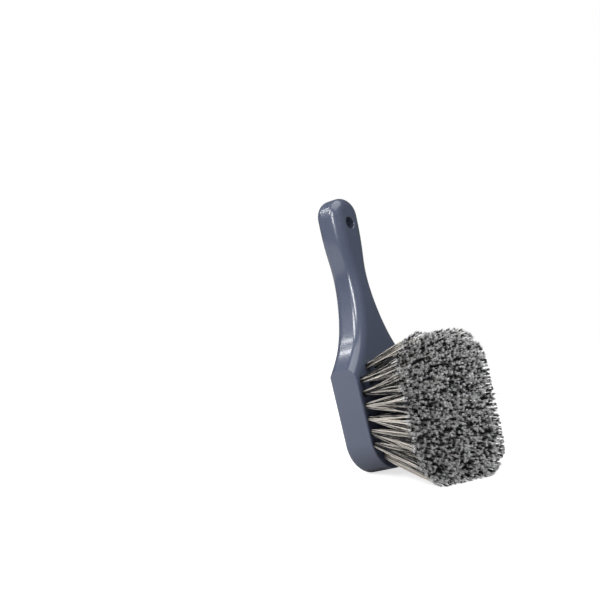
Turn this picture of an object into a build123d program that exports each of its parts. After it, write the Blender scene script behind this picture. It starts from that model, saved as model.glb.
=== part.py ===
"""Short-handled wheel brush: a one-piece moulded handle and head, soft bristle tufts set
in blind holes that fan outwards, and the flat wire anchors that hold the tufts.

The brush stands on the end of its head and on the tips of its lowest tufts.
+X is the way the bristles point along the floor, +Y runs across the brush and +Z is up.
Lengths "along" run from the head's end to the handle's end, "across" is the brush's
width, and "out" is measured from the flat back towards the bristles.
"""

from build123d import *

import os
from math import cos, pi, sin, sqrt

os.makedirs("parts", exist_ok=True)

# ---- tufts, mm ----
row_count = 8
column_count = 7
first_row_height = 10.0
row_pitch = 10.0
column_pitch = 10.2
trimmed_height = 56.0
tuft_root_radius = 2.5
tuft_tip_rounding = 2.5
tuft_straight_run = 0.8
tip_clearance = 0.4
splay_along = 0.48
splay_across = 0.76
upright_row_height = 62.0
closest_tips = min(row_pitch * (1 + splay_along), column_pitch * (1 + splay_across))

# ---- tuft holes and anchors ----
hole_clearance = 0.1
hole_radius = tuft_root_radius + hole_clearance
hole_depth = 13.0
hole_mouth_run = 4.0
anchor_thickness = 0.35
anchor_height = 2.4
anchor_overhang = 0.45
anchor_clearance = 0.05

# ---- the moulding: the head holds the outermost holes inside its side walls ----
overall_length = 215.0
head_thickness = 27.0
grip_thickness = 24.0
handle_end_thickness = 23.0
head_side_wall = 1.8
outermost_column = column_pitch * (column_count - 1) / 2
head_end_half_width = outermost_column + hole_radius + head_side_wall
head_spread = 2.5
head_half_width = head_end_half_width + head_spread
head_end_corner_radius = 25.0
last_row_height = first_row_height + row_pitch * (row_count - 1)
flat_past_last_row = 6.0
shoulder_height = last_row_height
flare_half_width = 21.5
flare_above_shoulder = 22.0
waist_half_width = 10.8
waist_below_end = 61.0
handle_end_half_width = 14.8

# ---- edge rounding ----
back_edge_radius = 4.5
grip_back_edge_radius = 7.5
grip_front_edge_radius = 8.0
head_front_edge_radius = 1.2

# ---- hang hole near the handle's end ----
hang_hole_radius = 4.7
hang_hole_rim_rounding = 1.0
hang_hole_from_end = 21.0


def tuft_length(along, across):
    """Length of the tuft from its root on the face to the plane where all tufts are trimmed."""
    rise = splay_along * (along - upright_row_height)
    spread = splay_across * across
    return sqrt(trimmed_height**2 + rise**2 + spread**2)


def fanned(along, across):
    """Unit direction (out, across, along) of the tuft rooted at this place on the face."""
    rise = splay_along * (along - upright_row_height)
    spread = splay_across * across
    length = tuft_length(along, across)
    return trimmed_height / length, spread / length, rise / length


def tip_radius(along, across):
    """Radius of the tuft's tip: less for slanting tufts, whose tips stand closer side by side."""
    slant = trimmed_height / tuft_length(along, across)
    return closest_tips / 2 * slant - tip_clearance


def tuft_places():
    """Name, along and across of every tuft; the first and last rows leave their corners out."""
    for row in range(row_count):
        inner_only = row in (0, row_count - 1)
        for column in range(column_count):
            if inner_only and column in (0, column_count - 1):
                continue
            along = first_row_height + row * row_pitch
            across = (column - (column_count - 1) / 2) * column_pitch
            yield f"tuft_row_{row + 1}_column_{column + 1}", along, across


def reach(along, across, out_share, along_share):
    """How far a tuft's rounded tip reaches along a unit direction with no across part."""
    out_part, _, along_part = fanned(along, across)
    turn = out_part * out_share + along_part * along_share
    flat_radius = tip_radius(along, across) - tuft_tip_rounding
    rim = flat_radius * sqrt(1.0 - turn**2) + tuft_tip_rounding
    root = head_thickness * out_share + along * along_share
    return root + (tuft_length(along, across) - tuft_tip_rounding) * turn + rim


def heel_height(angle):
    """Height of the head's rounded back edge's lowest line above the back's lower corner."""
    return back_edge_radius * (cos(angle) + sin(angle) - 1.0)


def lowest_tip(angle):
    """Height of the lowest tuft tip above the back's lower corner."""
    reaches = [reach(a, c, -sin(angle), -cos(angle)) for _, a, c in tuft_places()]
    return -max(reaches)


# ---- the lean: the head's back edge and the lowest tip share one floor ----
lean, steepest = 0.0, pi / 3
for _ in range(50):
    middle = (lean + steepest) / 2
    if lowest_tip(middle) < heel_height(middle):
        lean = middle
    else:
        steepest = middle

# the origin is on the floor, midway between the handle's end and the farthest tip
rearmost = grip_back_edge_radius * (cos(lean) + sin(lean) - 1.0) - overall_length * sin(lean)
foremost = max(reach(a, c, cos(lean), -sin(lean)) for _, a, c in tuft_places())

# local x = out, local y = across, local z = along
leaned = Plane(
    origin=(-(rearmost + foremost) / 2, 0, -heel_height(lean)),
    x_dir=(cos(lean), 0, sin(lean)),
    z_dir=(-sin(lean), 0, cos(lean)),
)


def place(out, across, along):
    """Point in the standing frame from out, across and along."""
    return leaned.from_local_coords(Vector(out, across, along))


def heading(out, across, along):
    """Direction in the standing frame from out, across and along."""
    return place(out, across, along) - place(0, 0, 0)


def tuft_plane(along, across, depth=0.0):
    """Plane at the tuft's root on the head's face, its normal along the tuft's fanned axis."""
    out_part, across_part, along_part = fanned(along, across)
    axis = heading(out_part, across_part, along_part)
    origin = place(head_thickness, across, along) + axis * depth
    side = heading(0, 1, 0).cross(axis)
    return Plane(origin=origin, x_dir=axis.cross(side), z_dir=axis)


def tuft_side_plane(along, across):
    """Plane holding the tuft's axis: local x runs away from the axis, local y along it."""
    root = tuft_plane(along, across)
    return Plane(origin=root.origin, x_dir=root.x_dir, z_dir=root.x_dir.cross(root.z_dir))


def tuft_axis(along, across):
    """The tuft's axis line."""
    root = tuft_plane(along, across)
    return Axis(root.origin, root.z_dir)


def span(edge):
    """Lowest and highest out, and lowest and highest along, of three places on an edge."""
    places = [leaned.to_local_coords(edge @ share) for share in (0.0, 0.5, 1.0)]
    outs = [p.X for p in places]
    alongs = [p.Z for p in places]
    return min(outs), max(outs), min(alongs), max(alongs)


# plan outline: local x = across; side outline: local x = out; local y = along in both
plan_plane = Plane(origin=place(0, 0, 0), x_dir=heading(0, 1, 0), z_dir=heading(1, 0, 0))
widest = 3 * head_half_width
side_plane = Plane(
    origin=place(0, widest / 2, 0), x_dir=heading(1, 0, 0), z_dir=heading(0, -1, 0)
)
cap_centre = overall_length - handle_end_half_width
waist_height = overall_length - waist_below_end
hang_hole_height = overall_length - hang_hole_from_end
anchor_length = 2 * (hole_radius + anchor_overhang)


# the head's rounded outline carried on past the shoulders, so that it trims only the head
with BuildPart() as head_envelope:
    with BuildSketch(plan_plane):
        with BuildLine():
            end_line = Line((0, 0), (head_end_half_width - head_end_corner_radius, 0))
            corner = RadiusArc(
                end_line @ 1,
                (head_end_half_width, head_end_corner_radius),
                -head_end_corner_radius,
            )
            side = Line(corner @ 1, (head_half_width, shoulder_height))
            run_on = Line(side @ 1, side @ 1 + (side % 1) * overall_length)
            Line(run_on @ 1, (0, (run_on @ 1).Y))
            mirror(about=Plane.YZ)
        make_face()
    extrude(amount=head_thickness)
    loops = [e for e in head_envelope.edges() if span(e)[1] - span(e)[0] < 0.01]
    loops = [e for e in loops if span(e)[2] < overall_length]
    fillet([e for e in loops if span(e)[0] < 0.01], radius=back_edge_radius)
    loops = [e for e in head_envelope.edges() if span(e)[0] > head_thickness - 0.01]
    loops = [e for e in loops if span(e)[2] < overall_length]
    fillet(loops, radius=head_front_edge_radius)

with BuildPart() as handle_block:
    # plan outline, one half drawn and mirrored, extruded outwards
    with BuildSketch(plan_plane):
        with BuildLine():
            end_line = Line((0, 0), (head_end_half_width - head_end_corner_radius, 0))
            corner = RadiusArc(
                end_line @ 1,
                (head_end_half_width, head_end_corner_radius),
                -head_end_corner_radius,
            )
            side = Line(corner @ 1, (head_half_width, shoulder_height))
            flare = Spline(
                side @ 1,
                (flare_half_width, shoulder_height + flare_above_shoulder),
                (waist_half_width, waist_height),
                (handle_end_half_width, cap_centre),
                tangents=((-0.66, 0.75), (0, 1)),
            )
            cap = RadiusArc(flare @ 1, (0, overall_length), -handle_end_half_width)
            mirror(about=Plane.YZ)
        make_face()
    extrude(amount=head_thickness)

    # side outline: flat back, flat head face, grip thinning towards the handle's end
    with BuildSketch(side_plane):
        with BuildLine():
            back = Line((0, overall_length), (0, 0))
            foot = Line(back @ 1, (head_thickness, 0))
            face = Line(foot @ 1, (head_thickness, last_row_height + flat_past_last_row))
            thinning = Spline(
                face @ 1,
                (grip_thickness, waist_height),
                (handle_end_thickness, overall_length),
                tangents=((0, 1), (-0.02, 1)),
            )
            Line(thinning @ 1, back @ 0)
        make_face()
    extrude(amount=widest, mode=Mode.INTERSECT)

    # the grip's soft edges run from shoulder to shoulder round the handle's end
    on_grip = [e for e in handle_block.edges() if span(e)[3] > shoulder_height + 1.0]
    on_grip = [e for e in on_grip if span(e)[3] - span(e)[2] > 0.01]
    fillet([e for e in on_grip if span(e)[0] > head_thickness / 2], radius=grip_front_edge_radius)
    on_grip = [e for e in handle_block.edges() if span(e)[3] > shoulder_height + 1.0]
    fillet([e for e in on_grip if span(e)[1] < 0.01], radius=grip_back_edge_radius)
    add(head_envelope.part, mode=Mode.INTERSECT)

    # hang hole with softened rims
    with BuildSketch(plan_plane):
        with Locations((0, hang_hole_height)):
            Circle(hang_hole_radius)
    extrude(amount=head_thickness, mode=Mode.SUBTRACT)
    near_hole = 1.1 * hang_hole_radius
    rims = [e for e in handle_block.edges() if abs(span(e)[2] - hang_hole_height) < near_hole]
    rims = [e for e in rims if e.length > 5 * hang_hole_radius and e.is_closed]
    fillet(rims, radius=hang_hole_rim_rounding)

    # blind tuft holes, each with a slot for its anchor across the bottom
    for _, along, across in tuft_places():
        with BuildSketch(tuft_plane(along, across, hole_mouth_run)):
            Circle(hole_radius)
        extrude(amount=-hole_depth - hole_mouth_run, mode=Mode.SUBTRACT)
        with BuildSketch(tuft_plane(along, across, -hole_depth)):
            Rectangle(anchor_length + 2 * anchor_clearance, anchor_thickness + 2 * anchor_clearance)
        extrude(amount=anchor_height + anchor_clearance, mode=Mode.SUBTRACT)

handle_block.part.label = "handle_block"
export_step(handle_block.part, "parts/handle_block.step")

# ---- tufts: a straight root in its hole, then a cone opening to a tip with a rounded rim ----
for name, along, across in tuft_places():
    length = tuft_length(along, across)
    radius = tip_radius(along, across)
    with BuildPart() as tuft:
        with BuildSketch(tuft_side_plane(along, across)):
            with BuildLine():
                axis_line = Line((0, length), (0, -hole_depth + anchor_clearance))
                bottom = Line(axis_line @ 1, (tuft_root_radius, -hole_depth + anchor_clearance))
                root_side = Line(bottom @ 1, (tuft_root_radius, tuft_straight_run))
                cone = Line(root_side @ 1, (radius, length - tuft_tip_rounding))
                tip_edge = RadiusArc(
                    cone @ 1,
                    (radius - tuft_tip_rounding, length),
                    -tuft_tip_rounding,
                )
                Line(tip_edge @ 1, axis_line @ 0)
            make_face()
        revolve(axis=tuft_axis(along, across))
        with BuildSketch(tuft_plane(along, across, -hole_depth)):
            Rectangle(3 * tuft_root_radius, anchor_thickness + 2 * anchor_clearance)
        extrude(amount=anchor_height + anchor_clearance, mode=Mode.SUBTRACT)
    tuft.part.label = name
    export_step(tuft.part, f"parts/{name}.step")

# ---- anchors: one flat wire across the bottom of every hole ----
with BuildPart() as tuft_anchors:
    for _, along, across in tuft_places():
        with BuildSketch(tuft_plane(along, across, -hole_depth)):
            Rectangle(anchor_length, anchor_thickness)
        extrude(amount=anchor_height)
tuft_anchors.part.label = "tuft_anchors"
export_step(tuft_anchors.part, "parts/tuft_anchors.step")
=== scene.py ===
from math import pi, radians

import bpy
import numpy as np
from bpy.props import (
    FloatProperty,
    FloatVectorProperty,
    IntProperty,
    PointerProperty,
)
from bpy.types import Operator, Panel, PropertyGroup
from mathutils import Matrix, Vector


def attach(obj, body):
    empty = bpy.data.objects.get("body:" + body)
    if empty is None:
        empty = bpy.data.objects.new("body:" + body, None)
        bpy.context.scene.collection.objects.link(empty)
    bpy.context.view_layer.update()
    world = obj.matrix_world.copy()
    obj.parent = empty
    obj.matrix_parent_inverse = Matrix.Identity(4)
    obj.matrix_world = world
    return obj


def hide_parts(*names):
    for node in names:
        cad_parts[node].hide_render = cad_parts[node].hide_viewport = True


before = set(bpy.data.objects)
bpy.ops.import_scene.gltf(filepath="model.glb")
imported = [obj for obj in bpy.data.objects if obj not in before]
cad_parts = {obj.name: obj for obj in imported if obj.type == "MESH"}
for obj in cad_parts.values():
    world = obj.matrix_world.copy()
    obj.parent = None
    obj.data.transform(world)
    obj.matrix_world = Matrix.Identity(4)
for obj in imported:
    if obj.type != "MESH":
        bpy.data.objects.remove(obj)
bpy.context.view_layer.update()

bl_info = {
    "name": "Wheel Brush",
    "version": (1, 0, 0),
    "blender": (4, 5, 0),
    "location": "3D View > Sidebar > Brush",
    "description": "Finishes a moulded wheel brush and grows its flagged bristles",
    "category": "Add Mesh",
}

MM = 0.001
TUFT_NODES = sorted(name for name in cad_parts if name.startswith("tuft_row"))

# How far a tuft spreads on the trimmed face, as a share of the step to the next tuft
REACH_TO_NEIGHBOUR = 0.53
REACH_INTO_CORNER = 0.65

# Rings and sides of a stalk, hairs at its end, and where a hair bends and how it tapers
STALK_RINGS = 5
TUBE_SIDES = 3
HAIRS = 4
HAIR_BEND = 0.55
HAIR_OVERLAP = 0.3 * MM
HAIR_RADII = (0.095 * MM, 0.085 * MM)

# Scatter of single bristles about their clump, and of the few wild ones
PLACE_JITTER = 0.45
ROOT_SCATTER = 0.08
BOW_SCATTER = 0.15
TIP_SCATTER = 0.18 * MM
STALK_START_DEPTH = 1.5 * MM
WILD_LEAD = 1.5 * MM
WILD_SCATTER = 1.6 * MM
FLOOR_MARGIN = 1.0 * MM

# Camera and lights, in metres and degrees. A light has its place, width and height
CAMERA_PLACE = (0.6981, -0.9487, 0.2001)
CAMERA_HEADING = 39.88
CAMERA_DIP = 3.26
SENSOR_WIDTH = 36.0
LIT_POINT = (0.0, 0.0, 0.11)
KEY_BOX = ((-0.09, -1.25, 0.62), 0.24, 0.6)
LEFT_BOX = ((-0.68, -0.89, 0.73), 0.25, 0.42)
WINDOW_NEAR = ((-0.93, -0.5, 0.74), 0.06, 0.34)
WINDOW_FAR = ((-1.01, -0.3, 0.74), 0.06, 0.34)
FRONT_SHEET = ((1.04, -0.49, 0.9), 0.45, 0.45)
TOP_SHEET = ((0.0, -0.1, 2.1), 2.2, 2.2)
AIR_STRENGTH = 0.14
FLOOR_RADIUS = 1.1


# ---------------------------------------------------------------- settings


class MouldingSettings(PropertyGroup):
    """Colours and surface of the moulded handle and head."""

    colour: FloatVectorProperty(
        name="Plastic colour",
        description="Colour of the moulded plastic",
        subtype="COLOR",
        size=3,
        min=0.0,
        max=1.0,
        default=(0.056, 0.066, 0.1),
    )
    dust_colour: FloatVectorProperty(
        name="Dust colour",
        description="Colour of the thin bloom that dulls parts of the plastic",
        subtype="COLOR",
        size=3,
        min=0.0,
        max=1.0,
        default=(0.07, 0.081, 0.117),
    )
    gloss_roughness: FloatProperty(
        name="Gloss roughness",
        description="Roughness where the moulding is cleanest",
        default=0.17,
        min=0.0,
        max=1.0,
        subtype="FACTOR",
    )
    worn_roughness: FloatProperty(
        name="Worn roughness",
        description="Roughness where hands and shelves have dulled it",
        default=0.25,
        min=0.0,
        max=1.0,
        subtype="FACTOR",
    )
    ripple_depth: FloatProperty(
        name="Ripple depth",
        description="Height of the faint flow ripples in the moulding",
        default=0.05 * MM,
        min=0.0,
        unit="LENGTH",
    )


class BristleSettings(PropertyGroup):
    """Sizes and colours of the bristles in every tuft."""

    pale_colour: FloatVectorProperty(
        name="Pale bristle",
        description="Colour of the cream bristles",
        subtype="COLOR",
        size=3,
        min=0.0,
        max=1.0,
        default=(0.89, 0.89, 0.89),
    )
    dark_colour: FloatVectorProperty(
        name="Dark bristle",
        description="Colour of the black bristles",
        subtype="COLOR",
        size=3,
        min=0.0,
        max=1.0,
        default=(0.008, 0.008, 0.009),
    )
    stalk_tint: FloatVectorProperty(
        name="Stalk tint",
        description="Tint of the pale bristles below their split tips",
        subtype="COLOR",
        size=3,
        min=0.0,
        max=1.0,
        default=(0.84, 0.79, 0.72),
    )
    pale_share: FloatProperty(
        name="Pale share",
        description="Share of the bristle clumps that are pale",
        default=0.5,
        min=0.0,
        max=1.0,
        subtype="FACTOR",
    )
    clumps_along: IntProperty(
        name="Clumps along",
        description="Clumps of bristle tips in one tuft, along the brush",
        default=7,
        min=1,
    )
    clumps_across: IntProperty(
        name="Clumps across",
        description="Clumps of bristle tips in one tuft, across the brush",
        default=7,
        min=1,
    )
    bristles_per_clump: IntProperty(
        name="Bristles per clump",
        description="Bristles whose tips gather into one clump",
        default=7,
        min=1,
    )
    bristle_radius: FloatProperty(
        name="Bristle radius",
        description="Radius of one bristle at its root",
        default=0.13 * MM,
        min=0.0,
        unit="LENGTH",
    )
    root_radius: FloatProperty(
        name="Root radius",
        description="Radius of the round bundle of bristles where it leaves its hole",
        default=1.9 * MM,
        min=0.0,
        unit="LENGTH",
    )
    buried_length: FloatProperty(
        name="Buried length",
        description="Length of tuft that sits in its hole in the head",
        default=12.95 * MM,
        min=0.0,
        unit="LENGTH",
    )
    split_length: FloatProperty(
        name="Split length",
        description="Length over which each bristle's tip is split into fine hairs",
        default=3.1 * MM,
        min=0.0,
        unit="LENGTH",
    )
    split_spread: FloatProperty(
        name="Split spread",
        description="How far the fine hairs spread from the bristle they split from",
        default=1.15 * MM,
        min=0.0,
        unit="LENGTH",
    )
    length_scatter: FloatProperty(
        name="Length scatter",
        description="Spread of the clumps' lengths at the trimmed face",
        default=0.25 * MM,
        min=0.0,
        unit="LENGTH",
    )
    pale_lead: FloatProperty(
        name="Pale lead",
        description="How much farther the pale clumps stand out than the dark ones",
        default=0.3 * MM,
        min=0.0,
        unit="LENGTH",
    )
    wild_share: FloatProperty(
        name="Wild share",
        description="Share of bristles that stray out of line",
        default=0.012,
        min=0.0,
        max=1.0,
        subtype="FACTOR",
    )
    clump_looseness: FloatProperty(
        name="Clump looseness",
        description="Scatter of the tips in a clump, as a share of the way between clumps",
        default=0.14,
        min=0.0,
    )
    stray_share: FloatProperty(
        name="Stray share",
        description="Share of bristles of the other tone within a clump",
        default=0.04,
        min=0.0,
        max=1.0,
        subtype="FACTOR",
    )
    flare: FloatProperty(
        name="Flare",
        description="Power with which a tuft widens from its root to its tips",
        default=1.25,
        min=1.0,
    )
    root_mixing: FloatProperty(
        name="Root mixing",
        description="How far clumps cross over in the root bundle, in shares of its radius",
        default=0.38,
        min=0.0,
    )
    bow: FloatProperty(
        name="Bow",
        description="Typical sideways bow of a bristle",
        default=0.9 * MM,
        min=0.0,
        unit="LENGTH",
    )
    corner_fullness: FloatProperty(
        name="Corner fullness",
        description="How far the bristle field fills its corners; 1 rounds them well",
        default=1.01,
        min=0.5,
    )
    seed: IntProperty(
        name="Seed",
        description="Starting number for the bristles' random places",
        default=11,
    )


class AnchorSettings(PropertyGroup):
    """Finish of the flat wire anchors."""

    colour: FloatVectorProperty(
        name="Wire colour",
        description="Colour of the galvanised wire",
        subtype="COLOR",
        size=3,
        min=0.0,
        max=1.0,
        default=(0.6, 0.6, 0.58),
    )


class StageSettings(PropertyGroup):
    """Floor, lights and camera."""

    floor_colour: FloatVectorProperty(
        name="Floor colour",
        description="Colour of the plain floor",
        subtype="COLOR",
        size=3,
        min=0.0,
        max=1.0,
        default=(0.55, 0.55, 0.55),
    )
    floor_glow: FloatProperty(
        name="Floor glow",
        description="White added to the floor as the camera sees it, which lights nothing",
        default=0.72,
        min=0.0,
    )
    key_power: FloatProperty(
        name="Key power",
        description="Power of the tall soft light facing the brush's side",
        default=11.875,
        min=0.0,
        unit="POWER",
    )
    top_power: FloatProperty(
        name="Top power",
        description="Power of the broad light overhead",
        default=42.0,
        min=0.0,
        unit="POWER",
    )
    side_power: FloatProperty(
        name="Side power",
        description="Power of the soft box to the camera's left",
        default=6.5,
        min=0.0,
        unit="POWER",
    )
    window_power: FloatProperty(
        name="Window power",
        description="Power of the window-like box behind the brush's back",
        default=2.4,
        min=0.0,
        unit="POWER",
    )
    front_power: FloatProperty(
        name="Front power",
        description="Power of the broad light that faces the bristle tips",
        default=10.5,
        min=0.0,
        unit="POWER",
    )
    lens: FloatProperty(
        name="Lens",
        description="Focal length of the camera in millimetres",
        default=92.1,
        min=1.0,
    )


def settings():
    """The scene's brush settings."""
    return bpy.context.scene.wheel_brush


class BrushSettings(PropertyGroup):
    """All settings of the brush."""

    moulding: PointerProperty(type=MouldingSettings)
    bristles: PointerProperty(type=BristleSettings)
    anchors: PointerProperty(type=AnchorSettings)
    stage: PointerProperty(type=StageSettings)


# ---------------------------------------------------------------- materials


def new_material(name):
    """A material with an empty node tree holding one Principled shader wired to the output."""
    material = bpy.data.materials.new(name)
    material.use_nodes = True
    tree = material.node_tree
    tree.nodes.clear()
    output = tree.nodes.new("ShaderNodeOutputMaterial")
    shader = tree.nodes.new("ShaderNodeBsdfPrincipled")
    tree.links.new(shader.outputs["BSDF"], output.inputs["Surface"])
    return material, tree, shader


def object_noise(tree, scale, detail, stretch=(1.0, 1.0, 1.0), roughness=0.55):
    """Noise over Object coordinates, scaled unevenly by stretch; returns its factor output."""
    places = tree.nodes.new("ShaderNodeTexCoord")
    mapping = tree.nodes.new("ShaderNodeMapping")
    mapping.inputs["Scale"].default_value = stretch
    noise = tree.nodes.new("ShaderNodeTexNoise")
    noise.inputs["Scale"].default_value = scale
    noise.inputs["Detail"].default_value = detail
    noise.inputs["Roughness"].default_value = roughness
    tree.links.new(places.outputs["Object"], mapping.inputs["Vector"])
    tree.links.new(mapping.outputs["Vector"], noise.inputs["Vector"])
    return noise.outputs["Fac"]


def mapped(tree, value, low, high, to_low, to_high):
    """value carried from the range low..high to the range to_low..to_high, clamped."""
    ranged = tree.nodes.new("ShaderNodeMapRange")
    ranged.interpolation_type = "SMOOTHSTEP"
    ranged.inputs["From Min"].default_value = low
    ranged.inputs["From Max"].default_value = high
    ranged.inputs["To Min"].default_value = to_low
    ranged.inputs["To Max"].default_value = to_high
    tree.links.new(value, ranged.inputs["Value"])
    return ranged.outputs["Result"]


def mixed_colour(tree, share, first, second):
    """Colour mix: share 0 gives first, 1 gives second; each is a colour or a socket."""
    mix = tree.nodes.new("ShaderNodeMix")
    mix.data_type = "RGBA"
    inputs = [s for s in mix.inputs if s.type == "RGBA"]
    factor = next(s for s in mix.inputs if s.type == "VALUE" and s.enabled)
    for socket, colour in zip(inputs, (first, second)):
        if isinstance(colour, bpy.types.NodeSocket):
            tree.links.new(colour, socket)
        else:
            socket.default_value = (*colour, 1.0)
    if isinstance(share, bpy.types.NodeSocket):
        tree.links.new(share, factor)
    else:
        factor.default_value = share
    return next(s for s in mix.outputs if s.type == "RGBA")


def joined_colour(tree, colour, tint):
    """A colour socket multiplied by a fixed tint."""
    mix = tree.nodes.new("ShaderNodeMix")
    mix.data_type = "RGBA"
    mix.blend_type = "MULTIPLY"
    factor = next(s for s in mix.inputs if s.type == "VALUE" and s.enabled)
    factor.default_value = 1.0
    first, second = [s for s in mix.inputs if s.type == "RGBA"]
    tree.links.new(colour, first)
    second.default_value = (*tint, 1.0)
    return next(s for s in mix.outputs if s.type == "RGBA")


def combined(tree, operation, first, second):
    """Two values, each a number or a socket, joined by one Math operation."""
    maths = tree.nodes.new("ShaderNodeMath")
    maths.operation = operation
    for socket, value in zip(maths.inputs, (first, second)):
        if isinstance(value, bpy.types.NodeSocket):
            tree.links.new(value, socket)
        else:
            socket.default_value = value
    return maths.outputs["Value"]


def bumped(tree, height, distance, strength=1.0):
    """Bump of a height socket, distance metres high."""
    bump = tree.nodes.new("ShaderNodeBump")
    bump.inputs["Distance"].default_value = distance
    bump.inputs["Strength"].default_value = strength
    tree.links.new(height, bump.inputs["Height"])
    return bump.outputs["Normal"]


def moulded_plastic():
    """Glossy blue-grey plastic: faint flow marks, a thin dulling bloom and a fine grain."""
    look = settings().moulding
    material, tree, shader = new_material("moulded_plastic")
    cloud = mapped(tree, object_noise(tree, 16.0, 3.0), 0.35, 0.68, 0.0, 1.0)
    grain = mapped(tree, object_noise(tree, 900.0, 2.0), 0.3, 0.7, 0.0, 1.0)
    bloom = combined(tree, "MULTIPLY", cloud, combined(tree, "MULTIPLY", grain, 0.6))
    tone = mixed_colour(tree, bloom, tuple(look.colour), tuple(look.dust_colour))
    tree.links.new(tone, shader.inputs["Base Color"])
    dull = mapped(tree, cloud, 0.0, 1.0, look.gloss_roughness, look.worn_roughness)
    tree.links.new(dull, shader.inputs["Roughness"])
    ripple = object_noise(tree, 30.0, 0.0, (1.0, 1.0, 0.5))
    height = combined(tree, "ADD", ripple, combined(tree, "MULTIPLY", grain, 0.02))
    tree.links.new(bumped(tree, height, look.ripple_depth), shader.inputs["Normal"])
    shader.inputs["IOR"].default_value = 1.47
    shader.inputs["Coat Weight"].default_value = 0.25
    shader.inputs["Coat Roughness"].default_value = 0.07
    return material


def bristle_fibre():
    """Bristle colour from each bristle's own tone, paler and duller towards the split tip, with
    painted shade darkening it towards the roots.
    """
    look = settings().bristles
    material, tree, shader = new_material("bristle_fibre")

    def own(name):
        attribute = tree.nodes.new("ShaderNodeAttribute")
        attribute.attribute_type = "GEOMETRY"
        attribute.attribute_name = name
        return attribute.outputs["Fac"]

    tone, shade, reach = own("tone"), own("shade"), own("reach")
    mottle = object_noise(tree, 260.0, 3.0)
    pale = mixed_colour(
        tree,
        mapped(tree, shade, 0.0, 1.0, 0.0, 1.0),
        tuple(look.pale_colour),
        tuple(0.4 * c for c in look.pale_colour),
    )
    frosted = mapped(tree, reach, 0.88, 0.97, 0.0, 1.0)
    pale = mixed_colour(tree, frosted, joined_colour(tree, pale, look.stalk_tint), pale)
    dark = mixed_colour(
        tree,
        mapped(tree, mottle, 0.4, 0.7, 0.0, 1.0),
        tuple(look.dark_colour),
        tuple(2.2 * c for c in look.dark_colour),
    )
    colour = mixed_colour(tree, tone, dark, pale)
    # painted shade: over the first sixth of each bristle, where the tuft leaves the head, the
    # colour is mixed towards near-black
    painted_root_shade = mapped(tree, reach, 0.0, 0.16, 0.45, 0.0)
    colour = mixed_colour(tree, painted_root_shade, colour, (0.05, 0.046, 0.042))
    tree.links.new(colour, shader.inputs["Base Color"])
    uneven = combined(tree, "ADD", combined(tree, "MULTIPLY", shade, 0.5), mottle)
    rough = mapped(tree, uneven, 0.3, 1.2, 0.42, 0.68)
    tree.links.new(rough, shader.inputs["Roughness"])
    fuzz = bumped(tree, object_noise(tree, 4000.0, 1.0), 0.02 * MM, 0.4)
    tree.links.new(fuzz, shader.inputs["Normal"])
    shader.inputs["Specular IOR Level"].default_value = 0.22
    return material


def galvanised_wire():
    """Flat galvanised wire: grey metal with a mottled, slightly dull skin."""
    look = settings().anchors
    material, tree, shader = new_material("galvanised_wire")
    spangle = object_noise(tree, 700.0, 3.0)
    tone = mixed_colour(
        tree,
        mapped(tree, spangle, 0.35, 0.65, 0.0, 1.0),
        tuple(look.colour),
        tuple(0.62 * c for c in look.colour),
    )
    tree.links.new(tone, shader.inputs["Base Color"])
    tree.links.new(mapped(tree, spangle, 0.3, 0.7, 0.28, 0.5), shader.inputs["Roughness"])
    tree.links.new(bumped(tree, spangle, 0.02 * MM), shader.inputs["Normal"])
    shader.inputs["Metallic"].default_value = 1.0
    return material


def dress(node, material):
    """Gives a carried-over node one material."""
    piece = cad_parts[node]
    piece.data.materials.clear()
    piece.data.materials.append(material)


# ---------------------------------------------------------------- bristle geometry


def node_points(name):
    """A carried-over node's vertices as an array of places."""
    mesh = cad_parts[name].data
    places = np.empty(len(mesh.vertices) * 3, np.float32)
    mesh.vertices.foreach_get("co", places)
    return places.reshape(-1, 3).astype(float)


def tuft_shape(name):
    """Root end and tip end of a tuft's axis, and the tuft's greatest radius: the middles of its
    two flat ends, found along the direction in which its vertices spread most."""
    places = node_points(name)
    middle = places.mean(axis=0)
    axis = np.linalg.svd(places - middle, full_matrices=False)[2][0]
    axis = axis * np.sign(axis[0])
    along = (places - middle) @ axis
    band = 0.05 * MM
    root_ring = places[along < along.min() + band]
    tip_ring = places[along > along.max() - band]
    root_end = (root_ring.min(0) + root_ring.max(0)) / 2
    tip_end = (tip_ring.min(0) + tip_ring.max(0)) / 2
    off_axis = np.linalg.norm(np.cross(places - root_end, axis), axis=1)
    return root_end, tip_end, off_axis.max()


def row_and_column(name):
    """The tuft's row and column numbers, read from its name."""
    words = name.split("_")
    return int(words[2]), int(words[4])


def reach_share(tips, place, way, edge):
    """How far a tuft reaches one way on the face, as a share of the step to its neighbour: a
    little over half with a neighbour there, far enough to fill a missing corner beside one, and
    otherwise the edge share."""
    beyond = (place[0] + way[0], place[1] + way[1])
    beside = [(beyond[0] + turn * way[1], beyond[1] + turn * way[0]) for turn in (-1, 1)]
    if beyond in tips:
        return REACH_TO_NEIGHBOUR
    return REACH_INTO_CORNER if any(corner in tips for corner in beside) else edge


def neighbour_steps(name, tips, radius):
    """Two vectors from this tuft's tip, to the next one along and to the next one across, each
    with how far the tuft reaches back and on along it."""
    place = row_and_column(name)
    here = tips[place]
    steps, limits = [], []
    for way in ((1, 0), (0, 1)):
        after = tips.get((place[0] + way[0], place[1] + way[1]))
        before = tips.get((place[0] - way[0], place[1] - way[1]))
        if after is not None and before is not None:
            step = (after - before) / 2
        elif after is not None:
            step = after - here
        else:
            step = here - before
        edge = min(0.5, radius / np.linalg.norm(step))
        back = (-way[0], -way[1])
        steps.append(step)
        limits.append((-reach_share(tips, place, back, edge), reach_share(tips, place, way, edge)))
    return steps, limits


def unit(vectors):
    """Vectors scaled to length 1 along their last axis."""
    return vectors / np.maximum(np.linalg.norm(vectors, axis=-1, keepdims=True), 1e-12)


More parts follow.
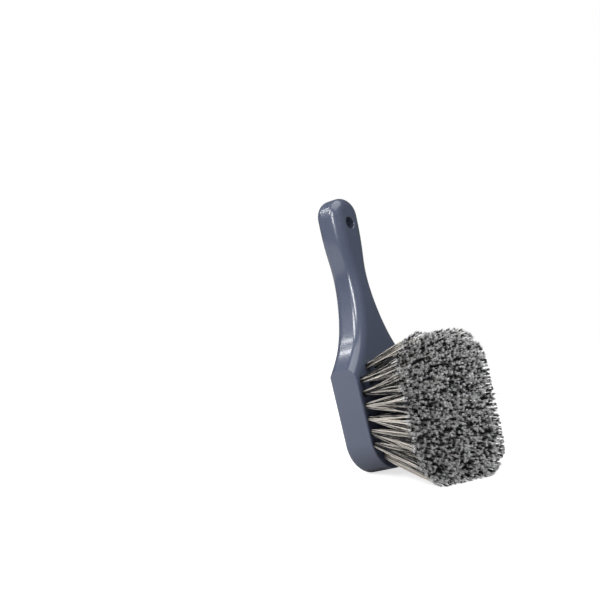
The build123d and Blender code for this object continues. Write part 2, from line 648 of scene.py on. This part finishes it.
def square_to_disc(a, b):
    """Places in the square -1..1 carried into the unit disc: each coordinate is shortened by
    the square root of one minus half the other's square."""
    return a * np.sqrt(1 - b**2 / 2), b * np.sqrt(1 - a**2 / 2)


def above_floor(heights, margin):
    """Heights kept above zero: below the margin they shrink towards the floor exponentially, as
    bristles bend where they press on it."""
    pressed = margin * np.exp(np.minimum(heights / margin, 1.0) - 1.0)
    return np.where(heights < margin, pressed, heights)


def tube_rings(centres, radii, side_a, side_b, sides=TUBE_SIDES):
    """Rings of a tube: each centre plus its radius times a unit circle in the plane of two side
    directions. centres has shape (tubes, rings, 3); returns (tubes, rings, sides, 3)."""
    turn = 2 * pi * np.arange(sides) / sides
    circle = np.cos(turn)[:, None] * side_a + np.sin(turn)[:, None] * side_b
    return centres[:, :, None, :] + radii[:, :, None, None] * circle[None, None]


def tube_faces(tubes, rings, sides, start):
    """Quads between neighbouring rings of every tube, and one polygon closing each tube's first
    and last ring. Returns quads (n, 4), first caps and last caps (n, sides)."""
    base = start + np.arange(tubes)[:, None, None] * rings * sides
    ring = np.arange(rings - 1)[None, :, None] * sides
    side = np.arange(sides)[None, None, :]
    after = (side + 1) % sides
    here = base + ring
    quads = np.stack(
        [here + side, here + after, here + sides + after, here + sides + side], axis=-1
    ).reshape(-1, 4)
    first = base[:, 0] + np.arange(sides)[::-1][None]
    last = base[:, 0] + (rings - 1) * sides + np.arange(sides)[None]
    return quads, first.reshape(-1, sides), last.reshape(-1, sides)


def strip_map(tubes, rings, sides, left, width, low, high):
    """Map corners for tube quads: every side of a tube shares one upright strip, left to right
    round the tube and low to high along it. left, low and high have one value a tube."""
    share = np.arange(rings) / (rings - 1)
    lower = low[:, None] + (high - low)[:, None] * share[None, :-1]
    upper = low[:, None] + (high - low)[:, None] * share[None, 1:]
    lower = np.repeat(lower[:, :, None], sides, axis=2)
    upper = np.repeat(upper[:, :, None], sides, axis=2)
    near = np.broadcast_to(left[:, None, None], lower.shape)
    away = near + width
    corners = np.stack([near, lower, away, lower, away, upper, near, upper], axis=-1)
    return corners.reshape(-1, 4, 2)


def lay_mesh(name, places, polygons, corners, point_values):
    """A smooth mesh from vertex places, a list of polygon arrays, their map corners and a
    dictionary of per-vertex values."""
    mesh = bpy.data.meshes.new(name)
    mesh.vertices.add(len(places))
    mesh.vertices.foreach_set("co", places.astype(np.float32).ravel())
    loops = np.concatenate([p.ravel() for p in polygons])
    counts = np.concatenate([np.full(len(p), p.shape[1]) for p in polygons])
    starts = np.concatenate([[0], np.cumsum(counts)[:-1]])
    mesh.loops.add(len(loops))
    mesh.loops.foreach_set("vertex_index", loops.astype(np.int32))
    mesh.polygons.add(len(counts))
    mesh.polygons.foreach_set("loop_start", starts.astype(np.int32))
    mesh.polygons.foreach_set("use_smooth", np.ones(len(counts), bool))
    layer = mesh.uv_layers.new(name="OFBake")
    flat = np.concatenate([c.reshape(-1, 2) for c in corners])
    layer.data.foreach_set("uv", flat.astype(np.float32).ravel())
    for key, values in point_values.items():
        attribute = mesh.attributes.new(key, "FLOAT", "POINT")
        attribute.data.foreach_set("value", values.astype(np.float32))
    mesh.update(calc_edges=True)
    mesh.validate()
    return mesh


def rounded_outline(face_a, face_b, place, tips):
    """Places on the face drawn in at the corners of the whole bristle field: with the field's
    own coordinates running from -1 to 1 both ways, the cube root of the sum of their cubes is
    held to the corner fullness."""
    rows, columns = np.max(list(tips), axis=0)
    field_a = (place[0] + face_a - (rows + 1) / 2) / (rows / 2)
    field_b = (place[1] + face_b - (columns + 1) / 2) / (columns / 2)
    far = np.cbrt(np.abs(field_a) ** 3 + np.abs(field_b) ** 3) / settings().bristles.corner_fullness
    draw = 1.0 / np.maximum(far, 1.0)
    face_a = field_a * draw * rows / 2 + (rows + 1) / 2 - place[0]
    face_b = field_b * draw * columns / 2 + (columns + 1) / 2 - place[1]
    return face_a, face_b


def grow_tuft(name, tips, random):
    """One tuft's mesh. Each bristle runs straight from its place in the round root bundle to its
    place on the trimmed face, with a slight bow, and then splits into a few fine tapering hairs.
    Bristle tips gather into clumps, and a clump shares its tone and length."""
    look = settings().bristles
    root_end, tip_end, radius = tuft_shape(name)
    axis = unit(tip_end - root_end)
    mouth = root_end + axis * look.buried_length
    (step_along, step_across), (limits_a, limits_b) = neighbour_steps(name, tips, radius)
    side_b = unit(step_across - axis * (step_across @ axis))
    side_a = np.cross(axis, side_b)

    # clumps: place on the face as shares of the way to the neighbouring tufts, place in the root
    # bundle, tone, brightness, length and bow
    rows, columns = look.clumps_along, look.clumps_across
    clumps = rows * columns
    grid_a, grid_b = np.meshgrid(
        (np.arange(rows) + 0.5) / rows, (np.arange(columns) + 0.5) / columns, indexing="ij"
    )
    clump_a = grid_a.ravel() + random.uniform(-PLACE_JITTER, PLACE_JITTER, clumps) / rows
    clump_b = grid_b.ravel() + random.uniform(-PLACE_JITTER, PLACE_JITTER, clumps) / columns
    clump_tone = (random.random(clumps) < look.pale_share).astype(float)
    clump_shade = random.random(clumps)
    clump_length = random.normal(0.0, look.length_scatter, clumps)
    clump_length = clump_length + (clump_tone - 0.5) * look.pale_lead
    square_a, square_b = np.clip(2 * clump_a - 1, -1, 1), np.clip(2 * clump_b - 1, -1, 1)
    disc_a, disc_b = square_to_disc(square_a, square_b)
    disc_a = disc_a + random.normal(0.0, look.root_mixing, clumps)
    disc_b = disc_b + random.normal(0.0, look.root_mixing, clumps)
    bow_turn = random.uniform(0, 2 * pi, clumps)
    clump_bow = np.cos(bow_turn)[:, None] * side_a + np.sin(bow_turn)[:, None] * side_b
    clump_bow = clump_bow * np.abs(random.normal(0.0, look.bow, clumps))[:, None]

    # bristles: the same for each one, scattered about its clump
    of_clump = np.repeat(np.arange(clumps), look.bristles_per_clump)
    count = len(of_clump)
    share_a = clump_a[of_clump] + random.normal(0.0, look.clump_looseness / rows, count)
    share_b = clump_b[of_clump] + random.normal(0.0, look.clump_looseness / columns, count)
    width_a, width_b = limits_a[1] - limits_a[0], limits_b[1] - limits_b[0]
    face_a = limits_a[0] + width_a * share_a
    face_b = limits_b[0] + width_b * share_b
    face_a, face_b = rounded_outline(face_a, face_b, row_and_column(name), tips)
    tone = clump_tone[of_clump]
    tone = np.where(random.random(count) < look.stray_share, 1.0 - tone, tone)
    shade = 0.65 * clump_shade[of_clump] + 0.35 * random.random(count)
    root_a = (disc_a[of_clump] + random.normal(0.0, ROOT_SCATTER, count)) * look.root_radius
    root_b = (disc_b[of_clump] + random.normal(0.0, ROOT_SCATTER, count)) * look.root_radius
    held = np.minimum(1.0, look.root_radius / np.maximum(np.hypot(root_a, root_b), 1e-9))
    root_a, root_b = root_a * held, root_b * held
    bow = clump_bow[of_clump] + random.normal(0.0, BOW_SCATTER * look.bow, (count, 3))
    extra = clump_length[of_clump] + random.normal(0.0, TIP_SCATTER, count)
    wild = (random.random(count) < look.wild_share)[:, None]
    start = mouth - axis * STALK_START_DEPTH
    start = start + root_a[:, None] * side_a + root_b[:, None] * side_b
    finish = tip_end + face_a[:, None] * step_along + face_b[:, None] * step_across
    finish = finish + axis * extra[:, None]
    finish = finish + wild * (axis * WILD_LEAD + random.normal(0.0, WILD_SCATTER, (count, 3)))
    aside = (share_a - clump_a[of_clump])[:, None] * width_a * step_along
    aside = aside + (share_b - clump_b[of_clump])[:, None] * width_b * step_across
    stalk_end = finish - unit(finish - start) * look.split_length

    # stalk centres: straight along the tuft, flaring sideways ever faster, a clump's bristles
    # close together until near their tips, plus a slight bow
    rings = STALK_RINGS
    share = np.linspace(0.0, 1.0, rings)
    way = stalk_end - start
    sideways = way - (way @ axis)[:, None] * axis
    centres = start[:, None] + way[:, None] * share[None, :, None]
    centres = centres + sideways[:, None] * (share**look.flare - share)[None, :, None]
    centres = centres + aside[:, None] * (share**3 - share**look.flare)[None, :, None]
    centres = centres + bow[:, None] * np.sin(pi * share)[None, :, None]
    thickness = random.uniform(0.85, 1.15, count)[:, None]
    radii = look.bristle_radius * (1.0 - 0.2 * share)[None] * thickness
    stalks = tube_rings(centres, radii, side_b, side_a)
    ahead = unit(finish - stalk_end)

    # hairs: a few to a bristle, leaving its end evenly round it and curling a little outwards
    hairs = HAIRS
    fan = random.uniform(0, 2 * pi, count)[:, None] + 2 * pi * np.arange(hairs) / hairs
    fan = (fan + random.normal(0, 0.5, fan.shape)).ravel()
    spread = look.split_spread * random.uniform(0.3, 1.3, count * hairs)
    outwards = np.cos(fan)[:, None] * side_a + np.sin(fan)[:, None] * side_b
    hair_start = np.repeat(stalk_end - ahead * HAIR_OVERLAP, hairs, axis=0)
    hair_ahead = np.repeat(ahead, hairs, axis=0)
    hair_length = look.split_length * random.uniform(0.82, 1.08, count * hairs)
    hair_share = np.array([0.0, HAIR_BEND])
    hair_centres = (
        hair_start[:, None]
        + hair_ahead[:, None] * (hair_length[:, None] * hair_share[None])[:, :, None]
        + outwards[:, None] * (spread[:, None] * (hair_share**1.3)[None])[:, :, None]
    )
    hair_radii = np.array(HAIR_RADII)[None] * np.ones((count * hairs, 1))
    hair_rings = tube_rings(hair_centres, hair_radii, side_b, side_a)
    hair_tips = hair_start + hair_ahead * hair_length[:, None] + outwards * spread[:, None]

    # vertices: stalk rings, hair rings, hair tips
    sides = TUBE_SIDES
    stalk_count = count * rings * sides
    hair_rings_count = count * hairs * 2 * sides
    places = np.concatenate([stalks.reshape(-1, 3), hair_rings.reshape(-1, 3), hair_tips])
    places[:, 2] = above_floor(places[:, 2], FLOOR_MARGIN)
    quads, first, last = tube_faces(count, rings, sides, 0)
    hair_quads, hair_first, hair_last = tube_faces(count * hairs, 2, sides, stalk_count)
    apex = stalk_count + hair_rings_count + np.arange(count * hairs)
    apex = np.repeat(apex[:, None], sides, axis=1)
    points = np.stack([hair_last, np.roll(hair_last, -1, axis=1), apex], axis=-1).reshape(-1, 3)

    # map: one square cell a bristle, its stalk on the left half and its hairs on the right
    order = np.argsort(np.argsort(tone + 0.5 * shade, kind="stable"), kind="stable")
    cells = int(np.ceil(np.sqrt(count)))
    cell = 1.0 / cells
    cell_left, cell_low = (order % cells) * cell, (order // cells) * cell
    low, high = cell_low + 0.06 * cell, cell_low + 0.94 * cell
    left = cell_left + 0.05 * cell
    stalk_map = strip_map(count, rings, sides, left, 0.42 * cell, low, high)
    hair_left = (cell_left[:, None] + (0.53 + 0.11 * np.arange(hairs))[None] * cell).ravel()
    hair_low, hair_high = np.repeat(low, hairs), np.repeat(high, hairs)
    bend = hair_low + HAIR_BEND * (hair_high - hair_low)
    hair_map = strip_map(count * hairs, 2, sides, hair_left, 0.1 * cell, hair_low, bend)
    wide = 0.1 * cell
    point_map = np.stack(
        [hair_left, bend, hair_left + wide, bend, hair_left + wide / 2, hair_high], axis=-1
    ).reshape(-1, 1, 3, 2)
    point_map = np.repeat(point_map, sides, axis=1).reshape(-1, 3, 2)

    def cap_map(left, low, width):
        right, middle = left + width, left + width / 2
        corners = np.stack([left, low, right, low, middle, low + 0.3 * width], axis=-1)
        return corners.reshape(-1, 3, 2)

    polygons = [quads, hair_quads, first, last, hair_first, points]
    corners = [
        stalk_map,
        hair_map,
        cap_map(left, low, 0.42 * cell),
        cap_map(left, high - 0.1 * cell, 0.42 * cell),
        cap_map(hair_left, hair_low, wide),
        point_map,
    ]
    of_hair = np.repeat(np.arange(count), hairs)
    hair_shade = np.clip(0.5 * shade[of_hair] + random.uniform(0.0, 0.5, count * hairs), 0, 1)
    split_from = 1.0 - look.split_length / np.linalg.norm(tip_end - mouth)
    hair_reach = split_from + (1 - split_from) * hair_share
    values = {
        "tone": np.concatenate(
            [np.repeat(tone, rings * sides), np.repeat(tone[of_hair], 2 * sides), tone[of_hair]]
        ),
        "shade": np.concatenate(
            [np.repeat(shade, rings * sides), np.repeat(hair_shade, 2 * sides), hair_shade]
        ),
        "reach": np.concatenate(
            [
                np.tile(np.repeat(share * split_from, sides), count),
                np.tile(np.repeat(hair_reach, sides), count * hairs),
                np.ones(count * hairs),
            ]
        ),
    }
    return lay_mesh(name.replace("tuft", "bristles"), places, polygons, corners, values)


# ---------------------------------------------------------------- operators


class BRUSH_OT_finish_moulding(Operator):
    """Give the moulded handle and head their glossy blue-grey plastic"""

    bl_idname = "brush.finish_moulding"
    bl_label = "Finish Moulding"

    def execute(self, context):
        dress("handle_block", moulded_plastic())
        return {"FINISHED"}


class BRUSH_OT_grow_bristles(Operator):
    """Grow every tuft's flagged bristles in place of its plain solid"""

    bl_idname = "brush.grow_bristles"
    bl_label = "Grow Bristles"

    def execute(self, context):
        look = settings().bristles
        material = bristle_fibre()
        tips = {row_and_column(name): tuft_shape(name)[1] for name in TUFT_NODES}
        random = np.random.default_rng(look.seed)
        for name in TUFT_NODES:
            mesh = grow_tuft(name, tips, random)
            mesh.materials.append(material)
            piece = bpy.data.objects.new(mesh.name, mesh)
            context.scene.collection.objects.link(piece)
            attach(piece, "root")
            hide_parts(name)
        return {"FINISHED"}


class BRUSH_OT_finish_anchors(Operator):
    """Give the flat wire anchors their galvanised finish"""

    bl_idname = "brush.finish_anchors"
    bl_label = "Finish Anchors"

    def execute(self, context):
        dress("tuft_anchors", galvanised_wire())
        return {"FINISHED"}


def soft_light(name, box, power):
    """An area light from its place, width and height, facing the lit point."""
    place, width, height = box
    data = bpy.data.lights.new(name, "AREA")
    data.shape = "RECTANGLE"
    data.size = width
    data.size_y = height
    data.energy = power
    lamp = bpy.data.objects.new(name, data)
    lamp.location = place
    lamp.rotation_euler = (Vector(LIT_POINT) - Vector(place)).to_track_quat("-Z", "Y").to_euler()
    bpy.context.scene.collection.objects.link(lamp)
    return lamp


def floor_disc(radius):
    """A flat disc of floor at height 0: rings of quads round a fan of triangles, every vertex at
    its ring's radius times the cosine and sine of its turn."""
    turns, rings = 96, 6
    turn = 2 * pi * np.arange(turns) / turns
    reach = radius * np.arange(1, rings + 1) / rings
    x = (reach[:, None] * np.cos(turn)).ravel()
    y = (reach[:, None] * np.sin(turn)).ravel()
    places = np.concatenate([np.stack([x, y, np.zeros_like(x)], axis=-1), np.zeros((1, 3))])
    here = np.arange(turns)
    after = (here + 1) % turns
    middle = np.full(turns, turns * rings)
    inner = (np.arange(rings - 1) * turns)[:, None]
    outer = inner + turns
    quads = np.stack([inner + here, outer + here, outer + after, inner + after], axis=-1)
    faces = np.stack([here, after, middle], axis=-1).tolist() + quads.reshape(-1, 4).tolist()
    mesh = bpy.data.meshes.new("studio_floor")
    mesh.from_pydata(places.tolist(), [], faces)
    mesh.update()
    return mesh


class BRUSH_OT_set_stage(Operator):
    """Lay the floor and set the lights and the camera"""

    bl_idname = "brush.set_stage"
    bl_label = "Set Stage"

    def execute(self, context):
        look = settings().stage
        scene = context.scene
        material, tree, shader = new_material("studio_floor")
        tone = mapped(tree, object_noise(tree, 3.0, 2.0), 0.3, 0.7, 0.0, 1.0)
        colour = mixed_colour(
            tree, tone, tuple(look.floor_colour), tuple(0.98 * c for c in look.floor_colour)
        )
        tree.links.new(colour, shader.inputs["Base Color"])
        shader.inputs["Roughness"].default_value = 0.8
        shader.inputs["Specular IOR Level"].default_value = 0.1
        shader.inputs["Emission Color"].default_value = (1.0, 1.0, 1.0, 1.0)
        view = tree.nodes.new("ShaderNodeLightPath")
        glow = combined(tree, "MULTIPLY", view.outputs["Is Camera Ray"], look.floor_glow)
        tree.links.new(glow, shader.inputs["Emission Strength"])
        mesh = floor_disc(FLOOR_RADIUS)
        mesh.materials.append(material)
        floor = bpy.data.objects.new("studio_floor", mesh)
        scene.collection.objects.link(floor)

        world = bpy.data.worlds.new("studio_air")
        scene.world = world
        world.use_nodes = True
        air = world.node_tree
        air.nodes.clear()
        out = air.nodes.new("ShaderNodeOutputWorld")
        seen = air.nodes.new("ShaderNodeBackground")
        lit = air.nodes.new("ShaderNodeBackground")
        seen.inputs["Color"].default_value = (1.0, 1.0, 1.0, 1.0)
        seen.inputs["Strength"].default_value = 1.0
        lit.inputs["Color"].default_value = (0.93, 0.96, 1.0, 1.0)
        lit.inputs["Strength"].default_value = AIR_STRENGTH
        path = air.nodes.new("ShaderNodeLightPath")
        choice = air.nodes.new("ShaderNodeMixShader")
        air.links.new(path.outputs["Is Camera Ray"], choice.inputs["Fac"])
        air.links.new(lit.outputs["Background"], choice.inputs[1])
        air.links.new(seen.outputs["Background"], choice.inputs[2])
        air.links.new(choice.outputs["Shader"], out.inputs["Surface"])

        soft_light("key_box", KEY_BOX, look.key_power)
        soft_light("left_box", LEFT_BOX, look.side_power)
        soft_light("window_near", WINDOW_NEAR, look.window_power / 2)
        soft_light("window_far", WINDOW_FAR, look.window_power / 2)
        front = soft_light("front_sheet", FRONT_SHEET, look.front_power)
        front.visible_glossy = False
        soft_light("top_sheet", TOP_SHEET, look.top_power)

        data = bpy.data.cameras.new("camera")
        data.lens = look.lens
        data.sensor_width = SENSOR_WIDTH
        data.clip_start = 0.05
        data.clip_end = 60.0
        camera = bpy.data.objects.new("camera", data)
        camera.location = CAMERA_PLACE
        camera.rotation_euler = (radians(90.0 - CAMERA_DIP), 0.0, radians(CAMERA_HEADING))
        scene.collection.objects.link(camera)
        scene.camera = camera
        scene.view_settings.view_transform = "Standard"
        return {"FINISHED"}


class BRUSH_PT_sidebar(Panel):
    """Brush tools in the 3D view's sidebar"""

    bl_idname = "BRUSH_PT_sidebar"
    bl_label = "Wheel Brush"
    bl_space_type = "VIEW_3D"
    bl_region_type = "UI"
    bl_category = "Brush"

    def draw(self, context):
        layout = self.layout
        groups = settings()
        for group, operator in (
            (groups.moulding, "brush.finish_moulding"),
            (groups.bristles, "brush.grow_bristles"),
            (groups.anchors, "brush.finish_anchors"),
            (groups.stage, "brush.set_stage"),
        ):
            box = layout.box()
            for key in group.__annotations__:
                box.prop(group, key)
            box.operator(operator)


CLASSES = (
    MouldingSettings,
    BristleSettings,
    AnchorSettings,
    StageSettings,
    BrushSettings,
    BRUSH_OT_finish_moulding,
    BRUSH_OT_grow_bristles,
    BRUSH_OT_finish_anchors,
    BRUSH_OT_set_stage,
    BRUSH_PT_sidebar,
)


def register():
    """Registers the classes and hangs the settings on the scene."""
    for each in CLASSES:
        bpy.utils.register_class(each)
    bpy.types.Scene.wheel_brush = PointerProperty(type=BrushSettings)


def unregister():
    """Takes the settings and the classes away again."""
    del bpy.types.Scene.wheel_brush
    for each in reversed(CLASSES):
        bpy.utils.unregister_class(each)


def main():
    """Builds the whole brush and its stage."""
    register()
    bpy.ops.brush.finish_moulding()
    bpy.ops.brush.grow_bristles()
    bpy.ops.brush.finish_anchors()
    bpy.ops.brush.set_stage()


if __name__ == "__main__":
    main()
